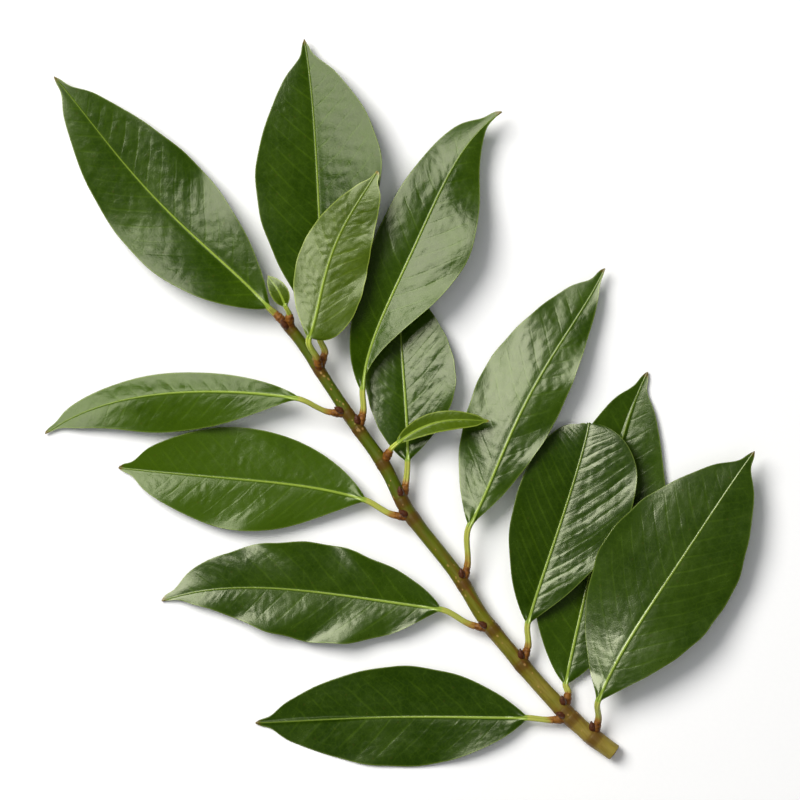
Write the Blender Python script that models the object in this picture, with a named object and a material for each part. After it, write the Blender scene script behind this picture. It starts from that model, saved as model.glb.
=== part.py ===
# A cut bay branch lying on a table: one woody stem with fifteen leaves.
# Metres, +X along the stem from the cut end to the growing tip, +Y to its left, +Z up.
import math

import bmesh
import bpy
import numpy as np
from mathutils import Vector

MM = 0.001

# Blades and their stalks, in millimetres
BLADE_THICKNESS = 0.7
STALK_RADIUS = 0.85
RIB_DEPTH = 0.55
RIB_HALF_WIDTH = 1.3
GROOVE_DEPTH = 0.2
TIP_HALF_WIDTH = 0.55
STALK_GAP = 0.3

# Swellings where the stalks leave the stem, and the buds above them, in millimetres
CUSHION_REACH = 2.6
CUSHION_RADIUS = 1.15
BUD_LENGTH = 4.4
BUD_RADIUS = 1.07
BUD_ELEVATION = 30.0
NODE_SWELLING = 0.10

# Centre line of the stem: reach, sideways, height, radius in millimetres
STEM_LINE = (
    (0.0, 0.55, 2.28, 2.25),
    (9.0, 3.05, 2.60, 2.15),
    (20.0, 4.75, 2.90, 2.05),
    (35.0, 5.85, 3.40, 1.95),
    (50.0, 6.25, 3.90, 1.85),
    (63.0, 4.85, 4.30, 1.80),
    (84.0, 4.90, 5.00, 1.75),
    (98.0, 2.50, 5.50, 1.70),
    (112.0, 1.90, 6.00, 1.60),
    (126.0, 0.85, 6.50, 1.50),
    (137.0, 0.00, 6.80, 1.45),
    (144.5, 0.10, 7.00, 1.38),
)
STEM_STATIONS = 34

# Rings along a leaf: shares of the stalk, then shares of the blade
STALK_SHARES = (0.0, 0.3, 0.6, 0.85)
BLADE_SHARES = (0.0, 0.03, 0.07, 0.12, 0.18, 0.25, 0.33, 0.42, 0.51, 0.60, 0.69, 0.77, 0.84, 0.90, 0.95,
                0.985, 1.0)
QUARTERS = (0.0, 0.25, 0.5, 0.75, 1.0)

# One entry for each leaf, millimetres and degrees:
#   node     reach along the stem where its stalk leaves
#   aim      plan heading and elevation in which the stalk leaves
#   base     plan position where the blade begins
#   tip      plan position of the tip
#   pace     share of the way to the tip covered at each quarter, where the leaf arches over
#   bow      how far the midrib runs to the left of the straight line at each quarter
#   height   height of the midrib at the base, the quarters and the tip
#   left     half width, share of the length where it is widest, fullness
#   right    the same on the other side
#   lift     climb from midrib to margin for the left and the right half: base, middle, tip
#   curl     how far the left and the right margin turn up
#   wave     height of the ripples of the margin and their number
LEAVES = (
    dict(name="leaf_01", node=6.5, aim=(-50, 20), base=(14.1, -4.6), tip=(41.1, -77.7),
         bow=(1.7, 1.4, 0.9), height=(7.4, 9.3, 9.3, 8.5, 6.6), left=(19.7, 0.49, 1.0),
         right=(16.7, 0.48, 0.9), lift=((-22, 1, -4), (11, -3, -2)), curl=(-0.4, -0.5),
         wave=(0.5, 2.5), bud=True),
    dict(name="leaf_02", node=16.8, aim=(-48, -4), base=(22.6, -0.4), tip=(74.9, -68.3),
         bow=(0.9, 1.6, 2.0), height=(2.6, 1.2, 0.40, 0.35, 0.90), left=(15.6, 0.44, 0.85),
         right=(16.8, 0.46, 0.85), lift=((10, 9, 12), (8, 10, 12)), curl=(0.0, 0.0), wave=(0.3, 2.0),
         bud=True),
    dict(name="leaf_03", node=14.2, aim=(56, 4), base=(21.8, 13.5), tip=(64.5, 71.5),
         bow=(-0.5, -0.8, -0.5), height=(3.6, 2.4, 1.1, 0.45, 0.60), left=(13.2, 0.46, 0.85),
         right=(13.7, 0.46, 0.85), lift=((6, -2, 0), (6, 4, 2)), curl=(0.0, 0.3), wave=(0.5, 2.0),
         bud=True),
    dict(name="leaf_04", node=33.6, aim=(-55, 8), base=(41.7, -2.4), tip=(72.8, -46.2),
         bow=(-0.2, -0.6, -0.6), pace=(0.31, 0.62, 0.92), height=(4.9, 5.2, 5.2, 4.6, 3.0),
         left=(13.6, 0.48, 0.75), right=(16.8, 0.55, 0.75), lift=((18, 14, -16), (9, 6, -2)),
         curl=(-0.1, -1.2), wave=(0.3, 3.0), bud=True),
    dict(name="leaf_05", node=45.8, aim=(40, 2), base=(58.8, 14.1), tip=(105.5, 71.5),
         bow=(-2.1, -3.9, -4.0), height=(4.3, 3.1, 2.2, 2.3, 0.90), left=(13.4, 0.43, 1.10),
         right=(13.0, 0.47, 0.72), lift=((7, 10, 13), (19, 11, -2)), curl=(-0.5, -0.5), wave=(1.5, 3.5),
         bud=True),
    dict(name="leaf_06", node=60.2, aim=(-50, 8), base=(71.7, -6.0), tip=(103.7, -76.0),
         bow=(1.1, 2.0, 0.9), height=(6.6, 7.3, 7.6, 5.8, 3.0), left=(13.9, 0.47, 0.75),
         right=(9.2, 0.46, 1.10), lift=((-18, -13, -2), (2, 5, 4)), curl=(-0.3, 0.2),
         wave=(0.4, 3.0), bud=True),
    dict(name="leaf_07", node=82.3, aim=(43, 2), base=(94.0, 12.2), tip=(140.6, 59.0),
         bow=(-1.5, -1.2, -0.5), height=(5.2, 4.2, 3.2, 2.1, 0.51), left=(13.6, 0.49, 0.90),
         right=(13.8, 0.50, 0.75), lift=((2, 7, 13), (-3, 0, 12)), curl=(-0.4, 0.1), wave=(0.5, 2.5),
         bud=True),
    dict(name="leaf_08", node=87.4, aim=(-48, -6), base=(95.3, -3.3), tip=(138.8, -33.6),
         bow=(-0.2, 0.1, 0.2), height=(4.8, 3.7, 3.0, 1.7, 0.60), left=(10.4, 0.44, 0.75),
         right=(13.9, 0.43, 1.10), lift=((12, 5, 10), (6, 12, 14)), curl=(-0.6, 0.2), wave=(0.3, 2.5),
         bud=True),
    dict(name="leaf_09", node=98.6, aim=(-66, 30), base=(100.6, -4.2), tip=(90.5, -26.7),
         bow=(2.2, 2.8, 1.8), height=(8.9, 9.6, 10.2, 10.4, 9.9), left=(2.8, 0.42, 0.60),
         right=(2.7, 0.50, 0.60), lift=((29, 14, 11), (27, 32, 21)), curl=(-0.6, -0.1), wave=(0.0, 1.0),
         bud=False),
    dict(name="leaf_10", node=109.7, aim=(-52, 10), base=(117.6, -5.4), tip=(153.3, -79.5),
         bow=(4.0, 4.7, 5.1), height=(7.9, 7.8, 7.6, 7.0, 6.5), left=(10.7, 0.50, 0.68),
         right=(14.2, 0.52, 1.50), lift=((28, 0, -25), (27, 13, -8)), curl=(-0.1, -0.1), wave=(0.4, 3.0),
         bud=True),
    dict(name="leaf_11", node=114.6, aim=(46, 4), base=(126.3, 10.0), tip=(159.7, 68.9),
         bow=(-4.1, -6.1, -5.4), height=(8.6, 7.1, 5.5, 3.6, 1.4), left=(10.4, 0.47, 1.05),
         right=(5.3, 0.48, 0.60), lift=((10, -1, 17), (-4, -24, -23)), curl=(-0.5, 0.4),
         wave=(0.3, 2.0), bud=True),
    dict(name="leaf_12", node=128.2, aim=(-24, 40), base=(136.9, -2.5), tip=(160.8, -43.6),
         bow=(1.6, 2.9, 2.0), height=(12.9, 12.9, 12.8, 14.0, 14.6), left=(8.3, 0.41, 0.95),
         right=(10.8, 0.34, 0.60), lift=((-11, -13, -6), (3, 3, 9)), curl=(-0.2, -0.1), wave=(0.3, 3.0),
         bud=False),
    dict(name="leaf_13", node=128.6, aim=(-56, -4), base=(135.6, -4.8), tip=(200.8, -49.8),
         bow=(-1.4, -1.6, -1.4), height=(6.3, 5.7, 5.1, 4.6, 3.1), left=(16.4, 0.51, 0.95),
         right=(17.2, 0.57, 1.12), lift=((18, 10, 9), (19, 20, 12)), curl=(-0.4, -0.1), wave=(0.3, 2.0),
         bud=False),
    dict(name="leaf_14", node=143.2, aim=(9, 0), base=(150.0, 1.2), tip=(233.4, 9.0),
         bow=(1.1, 2.3, 1.5), height=(7.7, 6.5, 5.0, 4.8, 4.6), left=(14.5, 0.41, 0.90),
         right=(14.2, 0.48, 0.90), lift=((20, 2, 1), (11, 2, 1)), curl=(-0.8, -0.5), wave=(0.4, 3.0),
         bud=False),
    dict(name="leaf_15", node=142.0, aim=(-34, 34), base=(147.4, -2.6), tip=(156.6, -3.9),
         bow=(-0.3, -0.4, -0.2), height=(10.9, 11.9, 12.0, 11.9, 11.5), left=(2.4, 0.42, 0.70),
         right=(2.4, 0.40, 0.70), lift=((29, 7, 2), (30, 19, 7)), curl=(-0.1, -0.3), wave=(0.0, 1.0),
         bud=False),
)

# Colours of the fresh wood, the grown leaves and the young ones
STEM_COLOUR = (0.17, 0.12, 0.035, 1.0)
LEAF_COLOUR = (0.045, 0.105, 0.012, 1.0)
YOUNG_COLOUR = (0.12, 0.23, 0.02, 1.0)
YOUNG_LEAVES = ("leaf_09", "leaf_12", "leaf_15")


def clear_scene():
    for scene_object in list(bpy.data.objects):
        bpy.data.objects.remove(scene_object, do_unlink=True)


def make_collection(name):
    collection = bpy.data.collections.new(name)
    bpy.context.scene.collection.children.link(collection)
    return collection


def make_material(name, colour, roughness):
    material = bpy.data.materials.new(name)
    material.use_nodes = True
    shader = material.node_tree.nodes["Principled BSDF"]
    shader.inputs["Base Color"].default_value = colour
    shader.inputs["Roughness"].default_value = roughness
    shader.inputs["Metallic"].default_value = 0.0
    material.diffuse_color = colour
    return material


def direction(heading, elevation):
    flat = math.cos(math.radians(elevation))
    return Vector((flat * math.cos(math.radians(heading)), flat * math.sin(math.radians(heading)),
                   math.sin(math.radians(elevation))))


def through_points(points, count):
    # A smooth line through the key points, evenly stepped along the keys
    keys = np.array(points, float)
    padded = np.vstack((2 * keys[0] - keys[1], keys, 2 * keys[-1] - keys[-2]))
    place = np.linspace(0, len(keys) - 1, count)
    index = np.minimum(place.astype(int), len(keys) - 2)
    share = (place - index)[:, None]
    before, here, there, after = (padded[index + step] for step in range(4))
    return 0.5 * (2 * here + (there - before) * share
                  + (2 * before - 5 * here + 4 * there - after) * share ** 2
                  + (3 * here - before - 3 * there + after) * share ** 3)


STEM_DENSE = through_points(STEM_LINE, 600)


def stem_at(reach):
    return np.array([np.interp(reach, STEM_DENSE[:, 0], STEM_DENSE[:, column]) for column in range(4)])


def through_quarters(values, share):
    # The fourth-degree curve that takes the five values at the quarters
    total = np.zeros_like(share)
    for index, value in enumerate(values):
        term = np.full_like(share, float(value))
        for other in range(5):
            if other != index:
                term = term * (share - QUARTERS[other]) / (QUARTERS[index] - QUARTERS[other])
        total = total + term
    return total


def smooth_step(share):
    share = np.clip(share, 0.0, 1.0)
    return share * share * (3 - 2 * share)


def leaf_root(leaf):
    axis = stem_at(leaf["node"])
    return Vector(axis[:3]) + direction(*leaf["aim"]) * (axis[3] + CUSHION_REACH + STALK_GAP)


def leaf_line(leaf, share):
    # Centre line of the blade for an array of shares of its length
    base = np.array(leaf["base"], float)
    tip = np.array(leaf["tip"], float)
    forward = (tip - base) / np.linalg.norm(tip - base)
    leftward = np.array((-forward[1], forward[0]))
    bow = through_quarters((0.0, *leaf["bow"], 0.0), share)
    pace = through_quarters((0.0, *leaf.get("pace", (0.25, 0.5, 0.75)), 1.0), share)
    plan = base + np.outer(pace, tip - base) + np.outer(bow, leftward)
    return np.column_stack((plan, through_quarters(leaf["height"], share))), leftward


def stalk_line(leaf, share):
    # Cubic from the end of the cushion to the base of the blade, with the blade's direction there
    root = np.array(leaf_root(leaf))
    start, leftward = leaf_line(leaf, np.array((0.0, 0.02)))
    base = start[0]
    reach = np.linalg.norm(base - root)
    out = np.array(direction(*leaf["aim"])) * reach
    into = (start[1] - start[0]) / np.linalg.norm(start[1] - start[0]) * reach
    s = share[:, None]
    return ((2 * s ** 3 - 3 * s ** 2 + 1) * root + (s ** 3 - 2 * s ** 2 + s) * out
            + (3 * s ** 2 - 2 * s ** 3) * base + (s ** 3 - s ** 2) * into)


def half_width(shape, share):
    width, widest, fullness = shape
    return width * max(math.sin(math.pi * share ** (math.log(0.5) / math.log(widest))), 0.0) ** fullness


def make_leaf(leaf, collection):
    # Loft from the round stalk to the flat blade, folded along its midrib
    stalk = np.array(STALK_SHARES)
    blade = np.array(BLADE_SHARES)
    blade_line, leftward = leaf_line(leaf, blade)
    line = np.vstack((stalk_line(leaf, stalk), blade_line))
    share = np.concatenate((np.zeros(len(stalk)), blade))
    flat = smooth_step(share / 0.08)

    forward = np.gradient(line, axis=0)
    forward[0] = np.array(direction(*leaf["aim"]))
    forward /= np.linalg.norm(forward, axis=1)[:, None]
    left = np.array((leftward[0], leftward[1], 0.0)) - forward * (forward[:, :2] @ leftward)[:, None]
    left /= np.linalg.norm(left, axis=1)[:, None]
    up = np.cross(forward, left)

    tops = []
    bottoms = []
    for ring in range(len(line)):
        t = share[ring]
        grown = flat[ring]
        widths = [max(float(half_width(leaf[side], t)), TIP_HALF_WIDTH) for side in ("right", "left")]
        inner = min(0.3, RIB_HALF_WIDTH / max(widths))
        columns = np.array((-1.0, -0.55, -inner, 0.0, inner, 0.55, 1.0))
        lefts = columns > 0
        width = np.where(lefts, widths[1], widths[0])
        full = np.where(lefts, leaf["left"][0], leaf["right"][0])
        lifts = [np.interp(t, (0, 0.5, 1), degrees) for degrees in leaf["lift"]]
        lift = np.where(lefts, lifts[0], lifts[1])
        curl = np.where(lefts, leaf["curl"][0], leaf["curl"][1])
        ripple = leaf["wave"][0] * np.sin(2 * np.pi * leaf["wave"][1] * t + np.where(lefts, 0.4, 2.2))
        across = columns * width
        rise = np.abs(across) * np.tan(np.radians(lift)) + curl * columns ** 2 * width / full
        rise += ripple * np.abs(columns) ** 3 * math.sin(math.pi * t)
        rise -= GROOVE_DEPTH * (columns == 0)
        slope = np.gradient(rise, across)
        lean = np.sqrt(1 + slope ** 2)
        depth = BLADE_THICKNESS + RIB_DEPTH * (1 - 0.75 * t) * (columns == 0)
        round_across = STALK_RADIUS * np.sin(columns * 0.85 * np.pi / 2)
        round_rise = STALK_RADIUS * np.cos(columns * 0.85 * np.pi / 2)
        top_across = np.where(np.abs(across) > np.abs(round_across), across, round_across)
        top_rise = (1 - grown) * round_rise + grown * rise
        bottom_across = top_across + grown * depth * slope / lean
        bottom_rise = -(1 - grown) * round_rise + grown * (rise - depth / lean)
        tops.append(line[ring] + np.outer(top_across, left[ring]) + np.outer(top_rise, up[ring]))
        bottoms.append(line[ring] + np.outer(bottom_across, left[ring]) + np.outer(bottom_rise, up[ring]))

    top = np.array(tops)
    bottom = np.array(bottoms)
    # Where the blade presses on the table its underside is flat
    bottom[:, :, 2] = np.maximum(bottom[:, :, 2], 0.0)
    top[:, :, 2] = np.maximum(top[:, :, 2], bottom[:, :, 2] + 0.62)

    rings, columns = top.shape[:2]
    vertices = np.vstack((top.reshape(-1, 3), bottom.reshape(-1, 3))) * MM
    under = rings * columns
    faces = []
    for ring in range(rings - 1):
        for column in range(columns - 1):
            a = ring * columns + column
            b = a + columns
            faces += [(a, b, b + 1), (a, b + 1, a + 1)]
            faces += [(under + a, under + b + 1, under + b), (under + a, under + a + 1, under + b + 1)]
        for a, turned in ((ring * columns, False), (ring * columns + columns - 1, True)):
            b = a + columns
            edge = [(a, under + a, under + b), (a, under + b, b)]
            faces += [face[::-1] for face in edge] if turned else edge
    for start, turned in ((0, False), (under - columns, True)):
        for column in range(columns - 1):
            a = start + column
            cap = [(a, a + 1, under + a + 1), (a, under + a + 1, under + a)]
            faces += [face[::-1] for face in cap] if turned else cap

    mesh = bpy.data.meshes.new(leaf["name"])
    mesh.from_pydata(vertices.tolist(), [], faces)
    mesh.polygons.foreach_set("use_smooth", [True] * len(mesh.polygons))
    mesh.set_sharp_from_angle(angle=math.radians(50))
    leaf_object = bpy.data.objects.new(leaf["name"], mesh)
    collection.objects.link(leaf_object)
    young = leaf["name"] in YOUNG_LEAVES
    mesh.materials.append(make_material(leaf["name"] + "_blade", YOUNG_COLOUR if young else LEAF_COLOUR, 0.4))
    return leaf_object


def into_collection(scene_object, collection):
    for other in list(scene_object.users_collection):
        other.objects.unlink(scene_object)
    collection.objects.link(scene_object)


def stand_along(scene_object, place, heading):
    scene_object.rotation_mode = "QUATERNION"
    scene_object.rotation_quaternion = heading.to_track_quat("Z", "Y")
    scene_object.location = place


def add_cushion(leaf, collection):
    # Short swelling, flat at its end, from which the stalk goes on
    axis = stem_at(leaf["node"])
    heading = direction(*leaf["aim"])
    length = float(axis[3]) + CUSHION_REACH
    bpy.ops.mesh.primitive_cone_add(vertices=8, radius1=CUSHION_RADIUS * 1.25 * MM,
                                    radius2=CUSHION_RADIUS * MM, depth=length * MM)
    cushion = bpy.context.object
    cushion.name = "cushion_" + leaf["name"]
    stand_along(cushion, (Vector(axis[:3]) + heading * length / 2) * MM, heading)
    into_collection(cushion, collection)


def add_bud(leaf, collection):
    # Small pointed bud in the angle between the stalk and the stem
    axis = stem_at(leaf["node"])
    heading = direction(leaf["aim"][0] * 0.55, BUD_ELEVATION)
    bpy.ops.mesh.primitive_uv_sphere_add(segments=8, ring_count=6, radius=1.0)
    bud = bpy.context.object
    bud.name = "bud_" + leaf["name"]
    bud.scale = (BUD_RADIUS * MM, BUD_RADIUS * MM, BUD_LENGTH / 2 * MM)
    stand_along(bud, (Vector(axis[:3]) + heading * (float(axis[3]) + 1.5)) * MM, heading)
    into_collection(bud, collection)


def make_stem(collection, cutters):
    samples = through_points(STEM_LINE, STEM_STATIONS)
    nodes = np.array([leaf["node"] for leaf in LEAVES])
    swelling = 1 + NODE_SWELLING * np.exp(-((samples[:, :1] - nodes[None, :]) / 2.5) ** 2).max(axis=1)
    curve = bpy.data.curves.new("stem_line", "CURVE")
    curve.dimensions = "3D"
    curve.bevel_depth = 1.0 * MM
    curve.bevel_resolution = 2
    curve.use_fill_caps = True
    spline = curve.splines.new("POLY")
    spline.points.add(len(samples) - 1)
    for point, sample, swell in zip(spline.points, samples, swelling):
        point.co = (*(sample[:3] * MM), 1.0)
        point.radius = float(sample[3] * swell)
    line_object = bpy.data.objects.new("stem_line", curve)
    collection.objects.link(line_object)
    bpy.context.view_layer.update()
    evaluated = line_object.evaluated_get(bpy.context.evaluated_depsgraph_get())
    mesh = bpy.data.meshes.new_from_object(evaluated)
    weld_mesh(mesh)
    stem = bpy.data.objects.new("stem", mesh)
    stem.matrix_world = line_object.matrix_world
    collection.objects.link(stem)
    bpy.data.objects.remove(line_object, do_unlink=True)

    for leaf in LEAVES:
        add_cushion(leaf, cutters)
        if leaf["bud"]:
            add_bud(leaf, cutters)
    add_tip_bud(cutters)

    union = stem.modifiers.new("growths", "BOOLEAN")
    union.operation = "UNION"
    union.operand_type = "COLLECTION"
    union.collection = cutters
    union.solver = "EXACT"
    bpy.context.view_layer.objects.active = stem
    bpy.ops.object.modifier_apply(modifier=union.name)
    for grown in list(cutters.objects):
        bpy.data.objects.remove(grown, do_unlink=True)
    mesh = stem.data
    weld_mesh(mesh)
    mesh.polygons.foreach_set("use_smooth", [True] * len(mesh.polygons))
    mesh.set_sharp_from_angle(angle=math.radians(45))
    mesh.materials.clear()
    mesh.materials.append(make_material("stem_bark", STEM_COLOUR, 0.55))
    return stem


def add_tip_bud(collection):
    # Bud at the growing tip, between the last leaves
    axis = stem_at(STEM_LINE[-1][0])
    heading = direction(0.0, 35.0)
    bpy.ops.mesh.primitive_uv_sphere_add(segments=8, ring_count=6, radius=1.0)
    bud = bpy.context.object
    bud.name = "bud_tip"
    bud.scale = (BUD_RADIUS * MM, BUD_RADIUS * MM, BUD_LENGTH / 2 * MM)
    stand_along(bud, (Vector(axis[:3]) + Vector((-0.8, 0.5, 1.6))) * MM, heading)
    into_collection(bud, collection)


def weld_mesh(mesh):
    work = bmesh.new()
    work.from_mesh(mesh)
    bmesh.ops.remove_doubles(work, verts=work.verts, dist=0.00001)
    bmesh.ops.recalc_face_normals(work, faces=work.faces)
    work.to_mesh(mesh)
    work.free()
    mesh.update()


def middle_of_footprint(objects):
    corners = []
    for scene_object in objects:
        coordinates = np.empty(len(scene_object.data.vertices) * 3)
        scene_object.data.vertices.foreach_get("co", coordinates)
        corners.append(coordinates.reshape(-1, 3))
    everything = np.vstack(corners)
    low = everything.min(axis=0)
    high = everything.max(axis=0)
    return Vector(((low[0] + high[0]) / 2, (low[1] + high[1]) / 2, low[2]))


def main():
    clear_scene()
    branch = make_collection("bay_branch")
    cutters = make_collection("growths")
    cutters.hide_render = True
    pieces = [make_stem(branch, cutters)]
    pieces += [make_leaf(leaf, branch) for leaf in LEAVES]
    origin = bpy.data.objects.new("branch_origin", None)
    branch.objects.link(origin)
    for piece in pieces:
        piece.parent = origin
    origin.location = -middle_of_footprint(pieces)


main()
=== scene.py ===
# A cut bay branch lying on a pale table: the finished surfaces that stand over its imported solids.
# Shapes are given in millimetres from the cut end of the stem, +X towards the growing tip, +Y to its left.
import math

import bpy
import numpy as np
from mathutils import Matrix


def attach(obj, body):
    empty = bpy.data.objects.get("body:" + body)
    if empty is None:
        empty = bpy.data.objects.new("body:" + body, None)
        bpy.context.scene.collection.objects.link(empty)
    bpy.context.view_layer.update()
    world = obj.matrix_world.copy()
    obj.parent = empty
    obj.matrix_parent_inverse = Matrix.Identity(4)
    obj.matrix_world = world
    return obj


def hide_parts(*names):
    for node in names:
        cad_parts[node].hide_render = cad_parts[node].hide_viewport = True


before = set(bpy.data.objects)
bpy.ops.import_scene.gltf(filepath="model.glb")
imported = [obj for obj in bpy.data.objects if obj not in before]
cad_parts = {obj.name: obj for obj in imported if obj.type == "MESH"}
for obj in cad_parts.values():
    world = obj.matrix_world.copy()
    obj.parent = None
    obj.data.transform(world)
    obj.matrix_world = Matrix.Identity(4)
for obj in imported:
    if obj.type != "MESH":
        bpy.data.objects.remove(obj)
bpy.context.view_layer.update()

millimetre = 0.001
rowShift = np.array((-116.407, 3.772, 0.0))  # from the cut end to the middle of the footprint
upwards = np.array((0.0, 0.0, 1.0))


def paint(red, green, blue):
    # A colour given as a screen shows it, 0 to 255, as the linear one that a shader takes
    share = np.array((red, green, blue)) / 255
    linear = np.where(share <= 0.04045, share / 12.92, ((share + 0.055) / 1.055) ** 2.4)
    return (*(float(value) for value in linear), 1.0)


def smoothStep(share):
    # 3s² - 2s³ between 0 and 1, level outside
    share = np.clip(share, 0.0, 1.0)
    return share * share * (3 - 2 * share)


def bell(gap, reach):
    # e to the minus (gap / reach)²: 1 in the middle, falling off to both sides
    return np.exp(-(gap / reach) ** 2)


def throughPoints(points, count):
    # A smooth line through the key points: each stretch is the cubic set by its ends and their neighbours
    keys = np.array(points, float)
    padded = np.vstack((2 * keys[0] - keys[1], keys, 2 * keys[-1] - keys[-2]))
    place = np.linspace(0, len(keys) - 1, count)
    index = np.minimum(place.astype(int), len(keys) - 2)
    share = (place - index)[:, None]
    before, here, there, after = (padded[index + step] for step in range(4))
    return 0.5 * (2 * here + (there - before) * share
                  + (2 * before - 5 * here + 4 * there - after) * share ** 2
                  + (3 * here - before - 3 * there + after) * share ** 3)


def throughQuarters(values, share):
    # The fourth-degree curve that takes the five values at 0, 1/4, 1/2, 3/4 and 1
    return np.polyval(np.polyfit(np.linspace(0, 1, 5), values, 4), share)


def direction(heading, elevation):
    # Unit arrow for a heading in plan and an elevation, in degrees
    turn = math.radians(heading)
    climb = math.radians(elevation)
    return np.array((math.cos(climb) * math.cos(turn), math.cos(climb) * math.sin(turn), math.sin(climb)))


def unit(arrows):
    # The same arrows, one long
    return arrows / np.linalg.norm(arrows, axis=-1, keepdims=True)


def fullTurn(sides):
    # Evenly spaced angles round a ring, as one row
    return np.linspace(0, 2 * np.pi, sides, endpoint=False)[None, :]


def softWaves(first, second, lengths, seed):
    # Slow unevenness: the mean of sines of the given wave lengths that run in random directions
    draw = np.random.default_rng(seed)
    total = np.zeros(np.broadcast(first, second).shape)
    for length in lengths:
        heading = draw.uniform(0, 2 * np.pi)
        start = draw.uniform(0, 2 * np.pi)
        run = first * np.cos(heading) + second * np.sin(heading)
        total = total + np.sin(2 * np.pi * run / length + start)
    return total / len(lengths)


def addObject(name, data):
    # A new object in the scene, at the origin
    thing = bpy.data.objects.new(name, data)
    bpy.context.scene.collection.objects.link(thing)
    return thing


def skinRings(name, rings, marks, plan=None):
    # Rings of points, ends included, joined by quads and closed by a fan of triangles on a pole at each
    # end. marks are numbers stored on the points, plan a pair of lengths for the piece's own map.
    count, around = rings.shape[:2]
    last = (count - 1) * around

    def withPoles(values):
        # The values point by point, then the mean of the first ring and of the last one for the two poles
        flat = values.reshape(count * around, -1)
        return np.vstack((flat, flat[:around].mean(axis=0), flat[last:].mean(axis=0)))

    points = (withPoles(rings) + rowShift) * millimetre
    here = np.arange(around)
    there = (here + 1) % around
    steps = np.arange(count - 1)[:, None] * around
    quads = np.stack((steps + here, steps + there, steps + around + there, steps + around + here), axis=-1)
    quads = quads.reshape(-1, 4)
    startFan = np.column_stack((np.full(around, count * around), there, here))
    endFan = np.column_stack((np.full(around, count * around + 1), last + here, last + there))
    fans = np.vstack((startFan, endFan))
    # The sum of the volumes under the faces is negative where the skin is inside out
    a, b, c, d = (points[quads[:, corner]] - points.mean(axis=0) for corner in range(4))
    if (np.cross(a, b) * c).sum() + (np.cross(a, c) * d).sum() < 0:
        quads = quads[:, ::-1]
        fans = fans[:, ::-1]

    mesh = bpy.data.meshes.new(name)
    corners = np.concatenate((quads.ravel(), fans.ravel())).astype(np.int32)
    starts = np.concatenate((np.arange(len(quads)) * 4, len(quads) * 4 + np.arange(len(fans)) * 3))
    mesh.vertices.add(len(points))
    mesh.vertices.foreach_set("co", points.ravel())
    mesh.loops.add(len(corners))
    mesh.loops.foreach_set("vertex_index", corners)
    mesh.polygons.add(len(starts))
    mesh.polygons.foreach_set("loop_start", starts.astype(np.int32))
    mesh.polygons.foreach_set("use_smooth", np.ones(len(starts), bool))
    mesh.update(calc_edges=True)
    for mark, values in marks.items():
        layer = mesh.attributes.new(mark, "FLOAT", "POINT")
        layer.data.foreach_set("value", withPoles(np.broadcast_to(values, (count, around))).ravel())
    if plan is not None:
        layer = mesh.uv_layers.new(name="plan")
        layer.data.foreach_set("uv", withPoles(plan)[corners].ravel())
    mesh.validate()
    return mesh


def placePiece(mesh, material, slotName, *nodes):
    # Every finished piece lies at the origin and rides on the one body
    piece = addObject(mesh.name, mesh)
    mesh.materials.append(material)
    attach(piece, "root")
    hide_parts(*nodes)


def addNode(tree, kind, sockets=None, **settings):
    # One node: its settings, then its sockets, linked where an output is given and set where a value is
    node = tree.nodes.new(kind)
    for setting, value in settings.items():
        setattr(node, setting, value)
    for place, value in (sockets or {}).items():
        if isinstance(value, bpy.types.NodeSocket):
            tree.links.new(value, node.inputs[place])
        else:
            node.inputs[place].default_value = value
    return node


def objectPlace(tree):
    # Where a point lies on its own object
    return addNode(tree, "ShaderNodeTexCoord").outputs["Object"]


def markOf(tree, name):
    # A number stored on the points of the mesh
    return addNode(tree, "ShaderNodeAttribute", attribute_name=name).outputs["Fac"]


def mathOf(tree, operation, first, second=0.0):
    # One step of arithmetic
    return addNode(tree, "ShaderNodeMath", {0: first, 1: second}, operation=operation).outputs[0]


def plus(tree, first, second):
    # first + second
    return mathOf(tree, "ADD", first, second)


def times(tree, first, second):
    # first x second
    return mathOf(tree, "MULTIPLY", first, second)


def fromMiddle(tree, value):
    # value - 0.5
    return mathOf(tree, "SUBTRACT", value, 0.5)


def fadeOf(tree, value, low, high, start=0.0, end=1.0):
    # Eases from start to end while the value goes from low to high
    sockets = {"Value": value, "From Min": low, "From Max": high, "To Min": start, "To Max": end}
    return addNode(tree, "ShaderNodeMapRange", sockets, interpolation_type="SMOOTHSTEP").outputs["Result"]


def blendOf(tree, factor, first, second):
    # The first colour at 0, the second at 1
    return addNode(tree, "ShaderNodeMix", {0: factor, 6: first, 7: second}, data_type="RGBA").outputs[2]


def coatOf(tree, colour, coat, value, low, high, start=0.0, end=1.0):
    # Lays a second colour over the first, from start to end of it while the value goes from low to high
    return blendOf(tree, fadeOf(tree, value, low, high, start, end), colour, coat)


def noiseOf(tree, place, scale, detail=2.0, roughness=0.5, distortion=0.0):
    # Cloudy values round a half, scale of them to a metre
    sockets = {"Vector": place, "Scale": scale, "Detail": detail, "Roughness": roughness,
               "Distortion": distortion}
    return addNode(tree, "ShaderNodeTexNoise", sockets).outputs["Fac"]


def startMaterial(name, preview):
    # An empty material and its tree; the preview is its plain colour
    material = bpy.data.materials.new(name)
    material.use_nodes = True
    material.diffuse_color = preview
    tree = material.node_tree
    tree.nodes.clear()
    return material, tree


def finishMaterial(tree, finish, colour, roughness, height, bumpDepth):
    # The shader, with its even values on its own sockets and a bump of the given depth in metres
    bump = addNode(tree, "ShaderNodeBump", {"Strength": 1.0, "Distance": bumpDepth, "Height": height})
    sockets = {"Base Color": colour, "Roughness": roughness, "Normal": bump.outputs["Normal"], **finish}
    shader = addNode(tree, "ShaderNodeBsdfPrincipled", sockets)
    addNode(tree, "ShaderNodeOutputMaterial", {"Surface": shader.outputs["BSDF"]})


print("bay branch: frame loaded")

# The stem

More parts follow.
